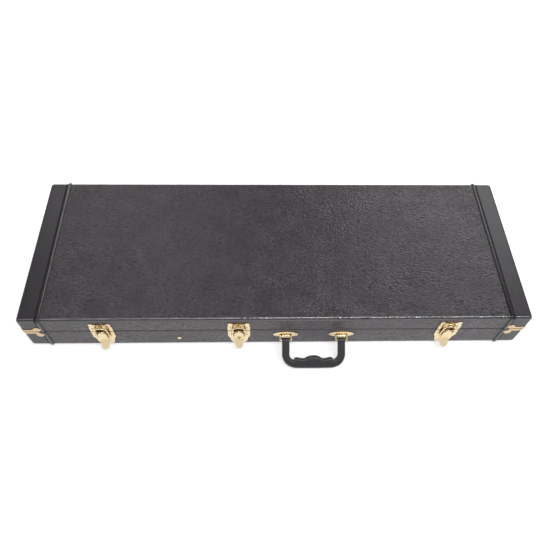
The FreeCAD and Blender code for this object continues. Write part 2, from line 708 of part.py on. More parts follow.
def shell_half(half):
    """Skin, end caps, piping, plywood and corner hardware of the base or the lid, drilled for fasteners."""
    outer = envelope(half, 0.0)
    wood = envelope(half, SKIN)
    skin = outer.cut(wood)
    trims = four_corners([envelope(half, -TRIM_SHEET).cut(outer).common(trim_region(half))])
    nails = four_corners(corner_nails(half))
    rivets = latch_rivets(half) + hinge_rivets(half)
    fasteners = nails + rivets
    if half == "base":
        fasteners = fasteners + handle_rivets() + [partition_rivet()]
    right_cap = skin.common(slab(PIPING_X + PIPING_STEM / 2, LENGTH))
    right_cord = piping(half, outer, skin)
    parts = {name: drilled(shape, fasteners) for name, shape in plywood(half, wood).items()}
    side = PIPING_X - PIPING_STEM / 2
    parts[half + "_covering"] = drilled(skin.common(slab(-side, side)), fasteners)
    parts[half + "_end_cap_right"] = drilled(right_cap, nails)
    parts[half + "_end_cap_left"] = drilled(mirrored_x(right_cap), nails)
    parts[half + "_piping_right"] = right_cord
    parts[half + "_piping_left"] = mirrored_x(right_cord)
    parts[half + "_corner_trims"] = Part.makeCompound([drilled(trim, nails) for trim in trims])
    parts[half + "_trim_nails"] = Part.makeCompound(nails)
    parts[half + "_rivets"] = Part.makeCompound(rivets)
    leaves = [drilled(moved(hinge_leaf(half), x), rivets) for x in HINGE_X]
    parts[half + "_hinge_leaves"] = Part.makeCompound(leaves)
    return parts


def handle_rivets():
    return [rivet(V(HANDLE_X + plate * HANDLE_PITCH / 2 + side * HANDLE_RIVET_X, -HANDLE_PLATE_OUT, HANDLE_PLATE_UP),
                  -Y_AXIS)
            for plate in (-1, 1) for side in (-1, 1)]


def partition_rivet():
    """Large dome-headed rivet through the front rail into the compartment's partition."""
    foot = V(PARTITION_X, 0, PARTITION_RIVET_UP)
    return domed_pin(foot, -Y_AXIS, PARTITION_RIVET_HEAD, PARTITION_RIVET_RISE, RIVET_SHANK, 3 * RIVET_LENGTH)


def latches():
    parts = {}
    base_rivets, lid_rivets = latch_rivets("base"), latch_rivets("lid")
    for name, x in LATCH_X.items():
        parts["catch_plate_" + name] = drilled(moved(catch_plate(), x), lid_rivets)
        parts["latch_plate_" + name] = drilled(moved(latch_base_plate().cut(pivot_pin()), x), base_rivets)
        parts["latch_lever_" + name] = moved(lever(), x)
        parts["latch_bail_" + name] = moved(bail(), x)
    middle = LATCH_X["middle"]
    parts["latch_lever_middle"] = parts["latch_lever_middle"].cut(moved(lock_cylinder(RUNNING_GAP), middle))
    parts["lock_cylinder"] = moved(lock_cylinder(), middle)
    parts["latch_pivot_pins"] = Part.makeCompound([moved(pivot_pin(), x) for x in LATCH_X.values()])
    return parts


def carrying_handle():
    rivets = handle_rivets()
    places = {"left": HANDLE_X - HANDLE_PITCH / 2, "right": HANDLE_X + HANDLE_PITCH / 2}
    parts = {"handle_plate_" + name: drilled(moved(handle_plate(), x), rivets) for name, x in places.items()}
    parts["handle_rivets"] = Part.makeCompound(rivets)
    parts["handle_rings"] = Part.makeCompound([moved(ring(), x) for x in places.values()])
    parts["handle_grip"] = handle()
    return parts


def interior():
    """Soft pads and compartment; the large rivet's shank ends in the neck partition."""
    parts = pads()
    parts.update(accessory_box())
    parts["neck_partition"] = parts["neck_partition"].cut(partition_rivet())
    parts["partition_rivet"] = partition_rivet()
    return parts


def all_parts():
    parts = {}
    for half in ("base", "lid"):
        parts.update(shell_half(half))
    parts["hinge_pins"] = Part.makeCompound([moved(hinge_pin(), x) for x in HINGE_X])
    parts.update(latches())
    parts.update(carrying_handle())
    parts.update(interior())
    return parts


def export(name, shape):
    placed = shape.copy()
    placed.translate(PLACE)
    placed.exportStep("parts/" + name + ".step")
    state = "valid" if shape.isValid() else "INVALID"
    print(f"{name:26s} {state} solids={len(shape.Solids)} volume={shape.Volume / 1000:.2f} cm3")


os.makedirs("parts", exist_ok=True)
for part_name, part_shape in all_parts().items():
    export(part_name, part_shape)
print("placed by", PLACE, "ring axis", RING_AXIS + PLACE, "handle axis", GRIP_AXIS + PLACE)
print("handle droop", math.degrees(HANDLE_DROOP))
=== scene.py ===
"""Guitar case: looks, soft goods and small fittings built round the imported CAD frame."""
import json
import math

import bmesh
import bpy
import numpy as np
from mathutils import Matrix, Vector, noise

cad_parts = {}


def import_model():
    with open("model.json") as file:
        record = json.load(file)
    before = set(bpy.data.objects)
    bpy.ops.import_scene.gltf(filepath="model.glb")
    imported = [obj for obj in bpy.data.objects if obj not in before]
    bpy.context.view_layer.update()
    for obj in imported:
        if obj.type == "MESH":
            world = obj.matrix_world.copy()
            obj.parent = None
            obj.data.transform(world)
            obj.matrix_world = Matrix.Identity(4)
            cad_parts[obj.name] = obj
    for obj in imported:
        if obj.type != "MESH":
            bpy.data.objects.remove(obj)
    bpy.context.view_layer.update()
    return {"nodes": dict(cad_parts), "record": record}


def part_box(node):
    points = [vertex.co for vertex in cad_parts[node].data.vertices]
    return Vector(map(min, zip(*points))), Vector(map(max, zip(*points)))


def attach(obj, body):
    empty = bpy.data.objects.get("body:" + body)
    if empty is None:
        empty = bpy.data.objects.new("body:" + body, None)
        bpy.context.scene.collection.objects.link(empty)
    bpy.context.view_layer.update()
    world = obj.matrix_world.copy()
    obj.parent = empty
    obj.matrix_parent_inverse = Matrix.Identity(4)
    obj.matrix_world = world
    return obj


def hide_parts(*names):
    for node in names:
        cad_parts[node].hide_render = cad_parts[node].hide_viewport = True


MM = 0.001

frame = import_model()


# Node helper

class Nodes:
    """Builds one node tree: inputs are given by name, as a number, a colour or another node's socket."""

    def __init__(self, owner):
        owner.use_nodes = True
        self.tree = owner.node_tree
        self.tree.nodes.clear()

    def add(self, kind, inputs=None, **settings):
        node = self.tree.nodes.new("ShaderNode" + kind)
        for key, value in settings.items():
            setattr(node, key, value)
        for key, value in (inputs or {}).items():
            if isinstance(value, bpy.types.NodeSocket):
                self.tree.links.new(value, node.inputs[key])
            else:
                node.inputs[key].default_value = value
        return node

    def maths(self, operation, first, second=0.0, clamp=False):
        return self.add("Math", {0: first, 1: second}, operation=operation, use_clamp=clamp).outputs[0]

    def ramp(self, value, low, high, start=0.0, end=1.0):
        limits = {"From Min": low, "From Max": high, "To Min": start, "To Max": end}
        return self.add("MapRange", {"Value": value, **limits}).outputs["Result"]

    def tint(self, factor, dark, light):
        node = self.add("Mix", {"Factor": factor}, data_type="RGBA")
        for index, colour in ((6, dark), (7, light)):
            node.inputs[index].default_value = (*colour, 1.0)
        return node.outputs[2]

    def noise(self, coords, scale, detail=2.0, roughness=0.5):
        inputs = {"Vector": coords, "Scale": scale, "Detail": detail, "Roughness": roughness}
        return self.add("TexNoise", inputs).outputs["Fac"]

    def bump(self, height, distance, strength=1.0):
        inputs = {"Height": height, "Distance": distance, "Strength": strength}
        return self.add("Bump", inputs).outputs["Normal"]

    def stretched(self, coords, scale, turn=0.0):
        """Coordinates turned about z, in radians, and scaled along each axis."""
        inputs = {"Vector": coords, "Rotation": (0.0, 0.0, turn), "Scale": scale}
        return self.add("Mapping", inputs).outputs["Vector"]

    def cells(self, coords, scale):
        """Distance to the nearest cell's middle, smoothed."""
        node = self.add("TexVoronoi", {"Vector": coords, "Scale": scale}, feature="SMOOTH_F1")
        return node.outputs["Distance"]

    def finish(self, **inputs):
        shader = self.add("BsdfPrincipled", {key.replace("_", " "): value for key, value in inputs.items()})
        self.add("OutputMaterial", {"Surface": shader.outputs[0]})


def new_material(name):
    made = bpy.data.materials.new(name)
    nodes = Nodes(made)
    return made, nodes, nodes.add("TexCoord").outputs["Object"]


# Materials

GRAIN_SCALE = 360.0                    # grains in a metre, across their length
GRAIN_SLANT = 0.95                     # turn of the second set of grains, in radians
GRAIN_SWIRL = 0.05                     # how far the grain wavers, in metres
GRAIN_DEPTH = 1.1 * MM                 # height of its ridges
RUBBED_RELIEF = 0.28                   # share of that height left on the rubbed edges


def rubbed_edge(n):
    """1 on the shell's long rounded edges, where it is pulled tight and polished, and 0 elsewhere."""
    facing = n.add("SeparateXYZ", {"Vector": n.add("TexCoord").outputs["Normal"]}).outputs
    both = n.maths("ABSOLUTE", n.maths("MULTIPLY", facing["Y"], facing["Z"]))
    return n.ramp(both, 0.1, 0.28)


def leathercloth():
    """Bark-grained charcoal cloth: long wavering ridges and furrows, deeper in patches; its colour is
    lighter on the polished ridges and darker in the furrows as painted shade.
    """
    made, n, coords = new_material("leathercloth")
    swirl = n.add("TexNoise", {"Vector": coords, "Scale": 11.0, "Detail": 1.0}).outputs["Color"]
    offset = n.add("VectorMath", {0: swirl, 3: GRAIN_SWIRL}, operation="SCALE").outputs[0]
    bent = n.add("VectorMath", {0: coords, 1: offset}, operation="ADD").outputs[0]
    long_way = n.cells(n.stretched(bent, (0.5, 1.0, 1.0)), GRAIN_SCALE)
    cross_way = n.cells(n.stretched(bent, (0.55, 1.0, 0.8), GRAIN_SLANT), GRAIN_SCALE * 0.9)
    choice = n.ramp(n.noise(coords, 17.0, 1.0), 0.44, 0.56)
    grains = n.add("Mix", {"Factor": choice, "A": long_way, "B": cross_way}, data_type="FLOAT")
    ridges = n.ramp(grains.outputs["Result"], 0.1, 0.75, 1.0, 0.0)
    patches = n.ramp(n.noise(coords, 19.0, 3.0, 0.6), 0.36, 0.64, 0.55, 1.0)
    fine = n.noise(coords, 900.0, 2.0)
    rubbed = rubbed_edge(n)
    left = n.ramp(rubbed, 0.0, 1.0, 1.0, RUBBED_RELIEF)
    relief = n.maths("MULTIPLY", ridges, n.maths("MULTIPLY", patches, left))
    height = n.maths("ADD", relief, n.maths("MULTIPLY", fine, 0.12))
    normal = n.bump(height, GRAIN_DEPTH)
    blotch = n.maths("MULTIPLY", n.noise(coords, 24.0, 3.0, 0.6), 0.3)
    # colour from the relief: lighter on the ridges for their polish, darker in the furrows as painted shade;
    # the blotches are random tone
    shade = n.maths("ADD", blotch, n.maths("MULTIPLY", relief, 0.9), clamp=True)
    colour = n.tint(shade, (0.0085, 0.0064, 0.0086), (0.061, 0.048, 0.0615))
    rough = n.ramp(relief, 0.0, 1.0, 0.66, 0.4)
    n.finish(Base_Color=colour, Roughness=rough, Normal=normal, Specular_IOR_Level=0.45,
             Coat_Weight=n.ramp(rubbed, 0.0, 1.0, 0.4, 1.0),
             Coat_Roughness=n.ramp(rubbed, 0.0, 1.0, 0.24, 0.15),
             Coat_IOR=n.ramp(rubbed, 0.0, 1.0, 1.5, 1.85), Coat_Normal=normal)
    return made


def end_cap_vinyl():
    """Smoother embossed vinyl with gentle undulations."""
    made, n, coords = new_material("end_cap_vinyl")
    grain = n.add("TexVoronoi", {"Vector": coords, "Scale": 700.0}).outputs["Distance"]
    waves = n.noise(n.stretched(coords, (1.0, 0.5, 1.0)), 30.0, 2.0)
    normal = n.bump(n.maths("ADD", n.maths("MULTIPLY", grain, 0.1), waves), 0.8 * MM, 0.7)
    colour = n.tint(n.noise(coords, 9.0, 2.0), (0.0225, 0.0185, 0.0235), (0.033, 0.0275, 0.0345))
    n.finish(Base_Color=colour, Roughness=0.38, Normal=normal, Specular_IOR_Level=0.45,
             Coat_Weight=rubbed_edge(n), Coat_Roughness=0.16, Coat_IOR=1.7)
    return made


def piping_vinyl():
    """Glossy cord of vinyl, slightly uneven along its length."""
    made, n, coords = new_material("piping_vinyl")
    normal = n.bump(n.noise(coords, 110.0, 2.0), 0.3 * MM, 0.35)
    colour = n.tint(n.noise(coords, 60.0, 2.0), (0.009, 0.008, 0.0095), (0.014, 0.0126, 0.0148))
    n.finish(Base_Color=colour, Roughness=0.5, Normal=normal, Specular_IOR_Level=0.15, Coat_Weight=1.0,
             Coat_Roughness=0.06, Coat_IOR=1.6, Coat_Normal=normal)
    return made


def flange_vinyl():
    """Near-black vinyl beside the cord, duller than it; the thread of its seam is the same."""
    made, n, coords = new_material("flange_vinyl")
    speckle = n.noise(coords, 500.0, 2.0)
    colour = n.tint(speckle, (0.014, 0.0125, 0.0145), (0.024, 0.0213, 0.0248))
    n.finish(Base_Color=colour, Roughness=0.62, Normal=n.bump(speckle, 0.2 * MM), Specular_IOR_Level=0.22)
    return made


def gold(name, light, dark, rough):
    """Plated pressed brass: faint mottling and hairline scratches, with painted shade darkening its
    recesses.
    """
    made, n, coords = new_material(name)
    mottle = n.noise(coords, 190.0, 3.0)
    scratches = n.noise(n.stretched(coords, (1.0, 0.08, 0.08)), 900.0, 2.0)
    # painted shade: an ambient-occlusion mask pulls the colour towards the dark gold in recesses and between
    # parts
    occlusion = n.add("AmbientOcclusion", {"Distance": 7.0 * MM}, samples=8).outputs["AO"]
    unshaded_share = n.ramp(occlusion, 0.45, 0.9)
    # colour mixes the painted shade of the recesses with the brass's own faint mottling
    shade = n.maths("MULTIPLY", unshaded_share, n.ramp(mottle, 0.3, 0.7, 0.92, 1.0), clamp=True)
    colour = n.tint(shade, dark, light)
    normal = n.bump(n.maths("ADD", mottle, n.maths("MULTIPLY", scratches, 0.15)), 0.05 * MM)
    roughness = n.ramp(scratches, 0.3, 0.7, rough - 0.02, rough + 0.03)
    n.finish(Base_Color=colour, Metallic=1.0, Roughness=roughness, Normal=normal)
    return made


def steel():
    """Bright drawn wire and pins, with fine lines along them."""
    made, n, coords = new_material("pin_steel")
    lines = n.noise(n.stretched(coords, (0.05, 1.0, 1.0)), 1500.0, 2.0)
    n.finish(Base_Color=(0.55, 0.53, 0.5, 1.0), Metallic=1.0, Roughness=n.ramp(lines, 0.3, 0.7, 0.22, 0.36),
             Normal=n.bump(lines, 0.03 * MM))
    return made


def plywood():
    """Pale wood of the shell, seen only where nothing covers it."""
    made, n, coords = new_material("plywood")
    rings = n.noise(n.stretched(coords, (0.06, 1.0, 1.0)), 160.0, 4.0, 0.6)
    colour = n.tint(rings, (0.42, 0.27, 0.13), (0.68, 0.5, 0.3))
    n.finish(Base_Color=colour, Roughness=0.7, Normal=n.bump(rings, 0.2 * MM))
    return made


def plush():
    """Short black pile, with brushed patches and a soft sheen."""
    made, n, coords = new_material("plush")
    pile = n.noise(coords, 1400.0, 3.0, 0.7)
    brushed = n.noise(n.stretched(coords, (1.0, 0.6, 1.0)), 22.0, 3.0)
    shade = n.maths("ADD", n.maths("MULTIPLY", pile, 0.6), n.maths("MULTIPLY", brushed, 0.5), clamp=True)
    colour = n.tint(shade, (0.013, 0.0122, 0.0145), (0.048, 0.045, 0.051))
    n.finish(Base_Color=colour, Roughness=0.95, Normal=n.bump(pile, 0.6 * MM), Specular_IOR_Level=0.1,
             Sheen_Weight=0.8, Sheen_Roughness=0.35, Sheen_Tint=(0.5, 0.48, 0.53, 1.0))
    return made


def handle_plastic():
    """Charcoal moulded plastic with a fine speckle."""
    made, n, coords = new_material("handle_plastic")
    speckle = n.noise(coords, 700.0, 2.0)
    n.finish(Base_Color=n.tint(speckle, (0.032, 0.029, 0.0325), (0.043, 0.039, 0.0435)),
             Roughness=n.ramp(speckle, 0.3, 0.7, 0.34, 0.44),
             Normal=n.bump(speckle, 0.12 * MM), Specular_IOR_Level=0.5)
    return made


# Each slot of the record has its material here; "flange" and "trim_brass" are looks within a slot.
MATERIALS = {
    "leathercloth": leathercloth(),
    "end_cap_vinyl": end_cap_vinyl(),
    "piping_vinyl": piping_vinyl(),
    "flange": flange_vinyl(),
    # the second colour of each gold is mostly its painted shade in recesses, and slightly its mottling
    "trim_brass": gold("trim_brass", (0.66, 0.5, 0.31), (0.32, 0.19, 0.05), 0.4),
    "brass": gold("brass", (0.83, 0.69, 0.45), (0.4, 0.22, 0.015), 0.27),
    "hinge_brass": gold("hinge_brass", (0.76, 0.61, 0.38), (0.34, 0.2, 0.04), 0.34),
    "pin_steel": steel(),
    "plywood": plywood(),
    "plush": plush(),
    "handle_plastic": handle_plastic(),
}
DULLER = ("lid_corner_trims", "base_corner_trims", "lid_trim_nails", "base_trim_nails")


def dress_cad_nodes():
    """Each CAD node takes the material of its slot in the record, and the corner trims a duller brass."""
    slots = {part["node"]: part["material_slot"] for part in frame["record"]["subparts"]}
    for name, node in frame["nodes"].items():
        node.data.materials.clear()
        node.data.materials.append(MATERIALS["trim_brass" if name in DULLER else slots[name]])


# Measures of the case, from the frame (metres)

def span(node):
    """Low and high corners of a CAD node."""
    low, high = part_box(node)
    return np.array(low), np.array(high)


LID_SKIN = span("lid_covering")
BASE_SKIN = span("base_covering")
FRONT, BACK = LID_SKIN[0][1], LID_SKIN[1][1]
CROWN = LID_SKIN[1][2]                 # top of the lid
UNDERSIDE = BASE_SKIN[0][2]
LID_RIM = span("lid_front_rail")[0][2]
BASE_RIM = span("base_front_rail")[1][2]
SKIN_END = LID_SKIN[1][0]
CAP_OUT_X = span("lid_end_cap_right")[1][0]
RAIL_IN_X = span("lid_right_rail")[0][0]
RAIL_IN_FRONT = span("lid_front_rail")[1][1]
RAIL_IN_BACK = span("lid_back_rail")[0][1]
EDGE = 7.0 * MM                        # rounding of the shell's edges
CLOTH = 0.95 * MM                      # thickness of the leathercloth
TURN_IN = 0.3 * MM                     # its thickness where it is turned in over the rails
ROLL = 1.9 * MM                        # rounding at the opening line
ROLL_STEPS = 5
EDGE_STEPS = 9
SKIN_STEP = 4.0 * MM                   # spacing of the skin's points round the shell
SKIN_STATIONS = 240                    # and how many cross-sections it has along the case
INNER_STEP = 40.0 * MM                 # spacing on its unseen inner face
INNER_EDGE_STEPS = 5
INNER_TURN_IN = 0.03 * MM
RELIEF_START = 2.0 * MM                # height over the rim where the cloth's relief begins
RELIEF_FADE = 6.0 * MM                 # and how much further it takes to its full depth
RELIEF_END_FADE = 8.0 * MM             # the same, from the ends of the skin
SLOW_WAVE = 0.1 * MM                   # height of the cloth's slow waves
CREASE_HEIGHT = 0.16 * MM              # and of its creases
STRAIGHT_START = 6.0 * MM              # where the base's deeper, straight part begins, from the rim
STRAIGHT_MARGIN = 1.0 * MM             # and how far short of the rounded edge it ends
BINDING_INSET = 0.8 * MM               # from the outer faces of the case to the rim bindings


# Mesh helpers

def piece(name, points, faces, body, slot, crease=40.0, finish=None):
    """New mesh object from points, riding on a body, with its slot's material or the named finish."""
    mesh = bpy.data.meshes.new(name)
    mesh.from_pydata([tuple(map(float, p)) for p in points], [], [tuple(map(int, f)) for f in faces])
    return settle(name, mesh, body, slot, crease, finish)


def settle(name, mesh, body, slot, crease=40.0, finish=None):
    """Object for a mesh whose faces are turned outwards and shaded smooth up to the crease angle."""
    shape = bmesh.new()
    shape.from_mesh(mesh)
    bmesh.ops.recalc_face_normals(shape, faces=shape.faces)
    shape.to_mesh(mesh)
    shape.free()
    made = bpy.data.objects.new(name, mesh)
    bpy.context.scene.collection.objects.link(made)
    mesh.materials.clear()
    mesh.materials.append(MATERIALS[finish or slot])
    mesh.shade_smooth()
    mesh.set_sharp_from_angle(angle=math.radians(crease))
    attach(made, body)
    return made


def joined(shapes):
    """Points and faces of several shapes as one."""
    points, faces, first = [], [], 0
    for some_points, some_faces in shapes:
        points.extend(some_points)
        faces.extend(tuple(first + i for i in f) for f in some_faces)
        first += len(some_points)
    return points, faces


def tube_faces(rings, around):
    """Quads of a loft through rings of points, with a flat face at each end."""
    faces = []
    for i in range(rings - 1):
        here, there = i * around, (i + 1) * around
        for j in range(around):
            k = (j + 1) % around
            faces.append((here + j, here + k, there + k, there + j))
    faces.append(tuple(range(around))[::-1])
    faces.append(tuple(range((rings - 1) * around, rings * around)))
    return faces


def arc(centre, radius, start, end, count):
    """Points (y, z) of an arc, angles in degrees."""
    angles = np.radians(np.linspace(start, end, count))
    return [(centre[0] + radius * math.cos(a), centre[1] + radius * math.sin(a)) for a in angles]


def run(start, end, step):
    """Points from start to end, a step or less apart, without the last one."""
    start, end = np.array(start, float), np.array(end, float)
    count = max(1, math.ceil(np.linalg.norm(end - start) / step))
    return [tuple(start + (end - start) * i / count) for i in range(count)]


# Leathercloth skins

def section(inset, turn, step, corner_steps):
    """Cross-section (y, z) of a lid's skin, from the front rail's rim over the top to the back rail's."""
    front, back, crown = FRONT + inset, BACK - inset, CROWN - inset
    edge, roll = EDGE - inset, ROLL - min(inset, ROLL / 2)
    low = LID_RIM - turn
    points = run((RAIL_IN_FRONT, low), (front + roll, low), step)
    points += arc((front + roll, low + roll), roll, -90, -180, ROLL_STEPS)
    points += run((front, low + roll), (front, crown - edge), step)[1:]
    points += arc((front + edge, crown - edge), edge, 180, 90, corner_steps)
    points += run((front + edge, crown), (back - edge, crown), step)[1:]
    points += arc((back - edge, crown - edge), edge, 90, 0, corner_steps)
    points += run((back, crown - edge), (back, low + roll), step)[1:]
    points += arc((back - roll, low + roll), roll, 0, -90, ROLL_STEPS)
    points += run((back - roll, low), (RAIL_IN_BACK, low), step)[1:] + [(RAIL_IN_BACK, low)]
    return np.array(points)


def outward(points):
    """Unit normals of an open run of points, to its left."""
    along = np.gradient(points, axis=0)
    normals = np.stack([-along[:, 1], along[:, 0]], axis=1)
    return normals / np.linalg.norm(normals, axis=1, keepdims=True)


def cloth_relief(x, y, z):
    """How far the glued cloth stands out: slow waves, and creases in patches."""
    slow = noise.noise(Vector((x * 16, y * 16, z * 16)))
    where = noise.noise(Vector((x * 7 + 5, y * 7, z * 7)))
    crease = 1 - abs(noise.noise(Vector((x * 60, y * 95, z * 95 + 3)))) * 2
    patch = min(max((where + 0.15) * 2.2, 0.12), 1.0)
    return SLOW_WAVE * slow + CREASE_HEIGHT * crease * patch


def skin(mirrored):
    """Closed shell of leathercloth round the lid; the base's has its own relief, and is mirrored later."""
    outer = section(0.0, TURN_IN, SKIN_STEP, EDGE_STEPS)
    inner = section(CLOTH, INNER_TURN_IN, INNER_STEP, INNER_EDGE_STEPS)[::-1]
    normals = outward(outer)
    stations = np.linspace(-SKIN_END, SKIN_END, SKIN_STATIONS)
    rings = []
    for x in stations:
        ends = min(1.0, (SKIN_END - abs(x)) / RELIEF_END_FADE)
        ring = []
        for (y, z), (ny, nz) in zip(outer, normals):
            share = min(1.0, max(0.0, (z - LID_RIM - RELIEF_START) / RELIEF_FADE))
            out = cloth_relief(x, y, -z if mirrored else z) * ends * share
            ring.append((x, y + ny * out, z + nz * out))
        ring += [(x, y, z) for y, z in inner]
        rings.append(ring)
    points = np.array(rings).reshape(-1, 3)
    return points, tube_faces(len(stations), len(outer) + len(inner))


def mirror_to_base(points):
    """Turns the lid's points over to the base, which is deeper: only the straight part is stretched."""
    deep = (BASE_RIM - UNDERSIDE) - (CROWN - LID_RIM)
    height = points[:, 2] - LID_RIM
    straight = CROWN - LID_RIM - EDGE - STRAIGHT_START - STRAIGHT_MARGIN
    share = np.clip((height - STRAIGHT_START) / straight, 0, 1)
    flipped = points.copy()
    flipped[:, 2] = BASE_RIM - height - share * deep
    return flipped


def skins():
    """The leathercloth of lid and base, in place of their plain solids."""
    points, faces = skin(mirrored=False)
    lid = piece("lid_skin", points, faces, "lid", "leathercloth")
    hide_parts("lid_covering")
    points, faces = skin(mirrored=True)
    base = piece("base_skin", mirror_to_base(points), faces, "base", "leathercloth")
    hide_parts("base_covering")


def bar(low, high):
    """Points and faces of a thin rectangular strip."""
    points = [(x, y, z) for x in (low[0], high[0]) for y in (low[1], high[1]) for z in (low[2], high[2])]
    faces = [(0, 1, 3, 2), (4, 6, 7, 5), (0, 4, 5, 1), (2, 3, 7, 6), (0, 2, 6, 4), (1, 5, 7, 3)]
    return points, faces


def rim_bindings():
    """The end caps' vinyl is turned in over the rims of the end rails."""
    for body, rim, away in (("lid", LID_RIM, 1), ("base", BASE_RIM, -1)):
        strips = []
        for side in (-1, 1):
            inner, outer = sorted((side * RAIL_IN_X, side * (CAP_OUT_X - BINDING_INSET)))
            low, high = sorted((rim, rim - away * TURN_IN))
            strips.append(bar((inner, FRONT + BINDING_INSET, low), (outer, BACK - BINDING_INSET, high)))
        piece(body + "_rim_binding", *joined(strips), body, "end_cap_vinyl")


# Piping flanges and their stitches

FLANGE = 0.4 * MM                      # thickness of the flange beside the cord
FLANGE_WIDTH = 4.6 * MM
FLANGE_BEVEL = 0.25 * MM
FLANGE_LIFT = 0.02 * MM                # of its underside from the skin
FLANGE_OVERLAP = 0.4 * MM              # of its near edge with the cord
FLANGE_CLEAR = 3.0 * MM                # from the rims to the ends of the flange
STITCH_PITCH = 4.2 * MM
STITCH_END = (1.4 * MM, 0.12 * MM)     # half length and radius at a stitch's tips
STITCH_BODY = (1.1 * MM, 0.3 * MM)     # and where its full thickness ends
STITCH_SIDES = 6
STITCH_LINE = 0.6                      # place of the seam, as a share of the flange's width


def lower(points):
    """Mirrors points (y, z) of the lid's cross-section to the base's, which is deeper."""
    stacked = np.column_stack([np.zeros(len(points)), points])
    return mirror_to_base(stacked)[:, 1:]


def profile(out, mirrored):
    """Points and outward normals of the shell's cross-section, `out` from its surface, clear of the rims."""
    points = section(-out, 0.0, SKIN_STEP, EDGE_STEPS)
    normals = outward(points)
    keep = points[:, 1] > LID_RIM + FLANGE_CLEAR
    if mirrored:
        return lower(points[keep]), normals[keep] * (1, -1)
    return points[keep], normals[keep]


def flange(near, mirrored):
    """Strip of vinyl beside the piping, wrapped round the shell from rim to rim."""
    low, _ = profile(FLANGE_LIFT, mirrored)
    high, _ = profile(FLANGE, mirrored)
    far = near + math.copysign(FLANGE_WIDTH, near)
    bevel = far - math.copysign(FLANGE_BEVEL, near)
    points = []
    for (y0, z0), (y1, z1) in zip(low, high):
        middle = (far, (y0 + y1) / 2, (z0 + z1) / 2)
        points += [(near, y0, z0), (near, y1, z1), (bevel, y1, z1), middle, (far, y0, z0)]
    return points, tube_faces(len(low), 5)


def stitch(place, along, normal, across):
    """One thread stitch: a short round-ended run of thread lying on the flange."""
    (tip, thin), (full, thick) = STITCH_END, STITCH_BODY
    points = []
    for at, radius in ((-tip, thin), (-full, thick), (full, thick), (tip, thin)):
        for k in range(STITCH_SIDES):
            angle = 2 * math.pi * k / STITCH_SIDES
            out = across * math.cos(angle) + normal * math.sin(angle)
            points.append(place + along * at + out * radius)
    return points, tube_faces(4, STITCH_SIDES)


def stitch_row(x, mirrored):
    """Stitches a pitch apart along a flange, on its outer face."""
    points, normals = profile(FLANGE, mirrored)
    steps = np.linalg.norm(np.diff(points, axis=0), axis=1)
    travelled = np.concatenate([[0], np.cumsum(steps)])
    made = []
    for s in np.arange(STITCH_PITCH, travelled[-1], STITCH_PITCH):
        y, z = (np.interp(s, travelled, points[:, k]) for k in (0, 1))
        ny, nz = (np.interp(s, travelled, normals[:, k]) for k in (0, 1))
        normal = np.array((0, ny, nz))
        normal /= np.linalg.norm(normal)
        across = np.array((1.0, 0, 0))
        made.append(stitch(np.array((x, y, z)), np.cross(across, normal), normal, across))
    return made


def piping_flanges():
    """Flanges outboard of all four cords, and the seams that hold them."""
    near = span("lid_piping_right")[1][0] - FLANGE_OVERLAP
    seam_x = near + FLANGE_WIDTH * STITCH_LINE
    for body, mirrored in (("lid", False), ("base", True)):
        strips = [flange(side * near, mirrored) for side in (-1, 1)]
        piece(body + "_piping_flanges", *joined(strips), body, "piping_vinyl", finish="flange")
        rows = [one for side in (-1, 1) for one in stitch_row(side * seam_x, mirrored)]
        piece(body + "_piping_stitches", *joined(rows), body, "piping_vinyl", finish="flange")


# Handle

HANDLE_REACH = 49.8 * MM               # from the rings to the middle of the grip
DROOP_REACH = 52.0 * MM                # from the rings to where the handle's middle plane has come down
DROOP_HEIGHT = 8.2 * MM                # to this height over the floor
FLOOR_GAP = 0.1 * MM
LEG = 58.5 * MM                        # from the middle of the handle to the middle of a leg
LEG_HALF = 7.9 * MM                    # half its width
LEG_THIN = 4.5 * MM                    # half its thickness at the rings
LEG_THICKENS = 2.9 * MM                # what that gains by the grip
LEG_STEP = 3.0 * MM
LEG_END = 4.5 * MM                     # rounding of a leg's end beyond its ring
LEG_END_STEPS = (-4.4 * MM, -3.6 * MM, -2.2 * MM)
CORNER = 20.5 * MM                     # bend of the middle line
GRIP_HALF = 40.5 * MM                  # half the length of the raised grip
GRIP_THICK = 7.3 * MM                  # half its thickness before it rises
GRIP_RISE = 0.7 * MM                   # step up from the legs to the grip
GRIP_BOW = 0.7 * MM                    # of its outer edge
GRIP_STEP = 1.5 * MM
GROOVE = ((0.5 * MM, 0.0), (0.35 * MM, 1.0))   # place beyond the raised grip, and share of its depth
GROOVE_SIDE = 0.5 * MM
GROOVE_FACE = 0.4 * MM
FINGERS = ((0, 17.4), (6, 16.9), (22, 11.2), (35, 13.4), (41, 12.2))   # place and depth on one half, mm
HANDLE_SIDES = 28
LEG_POWER, GRIP_POWER = 3.8, 5.0       # squareness of their cross-sections
RING_RADIUS = 1.7 * MM                 # of the rings' wire


def finger_wave(x):
    """Distance from the grip's middle line to its inner edge, smooth between the finger points."""
    xs, depths = (np.array(values) * MM for values in zip(*FINGERS))
    k = min(max(int(np.searchsorted(xs, x)) - 1, 0), len(xs) - 2)
    t = min(max((x - xs[k]) / (xs[k + 1] - xs[k]), 0.0), 1.0)
    return depths[k] + (depths[k + 1] - depths[k]) * (t * t * (3 - 2 * t))


def leg_thickness(reach):
    """Half thickness of a leg at a distance from its ring."""
    return LEG_THIN + LEG_THICKENS * max(reach, 0.0) / HANDLE_REACH


